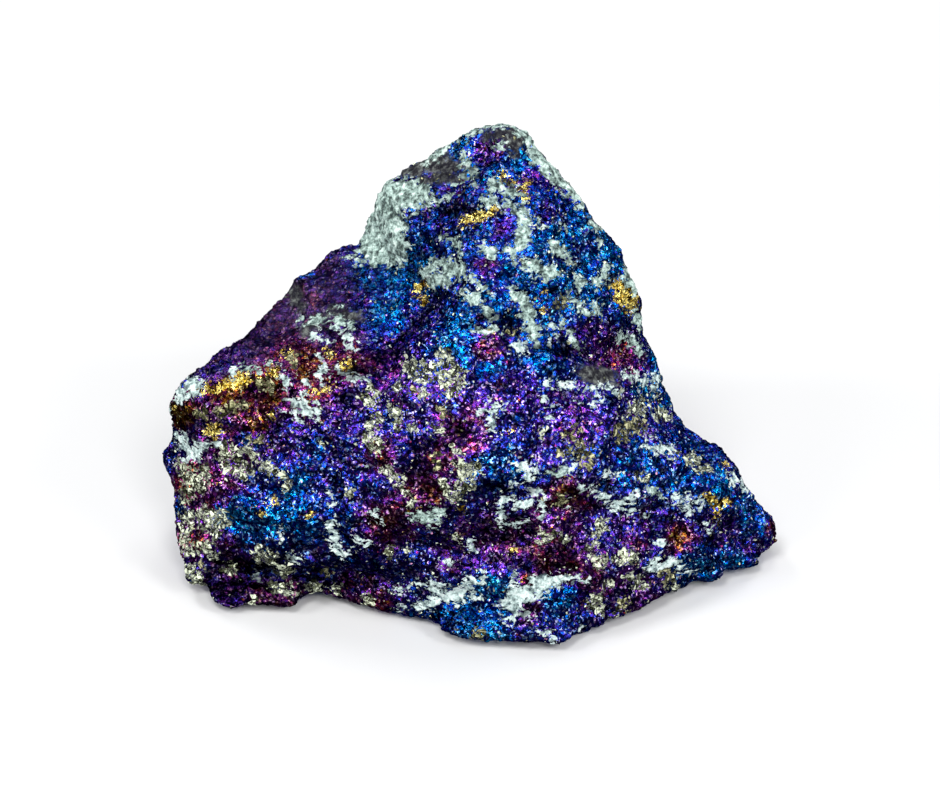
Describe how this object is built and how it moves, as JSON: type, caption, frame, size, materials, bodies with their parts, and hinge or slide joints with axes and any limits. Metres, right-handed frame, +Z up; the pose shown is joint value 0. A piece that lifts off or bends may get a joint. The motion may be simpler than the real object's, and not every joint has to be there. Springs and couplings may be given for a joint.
{
  "type": "peacock ore specimen",
  "caption": "Peaked lump of iridescent blue and purple peacock ore with pale stony patches and brassy grains, resting on a flat broken foot.",
  "frame": {"origin": "on the resting plane, under the middle of the stone's bounding box", "axes": "+Z up as the stone rests, +X along its width to the right of the display face, +Y away from the display face"},
  "size_m": [0.0622, 0.0456, 0.0456],
  "materials": {
    "tarnished_ore": "granular metallic tarnish, deep blue to violet with cyan, magenta and gold glints",
    "pale_gangue": "matt, fine grained, pale grey-green stone between the ore grains",
    "sulphide_grains": "bright broken metallic grains, silvery to brassy, that the tarnish has not covered"
  },
  "bodies": {
    "root": {"ore_stone": "tarnished_ore"}
  },
  "joints": []
}
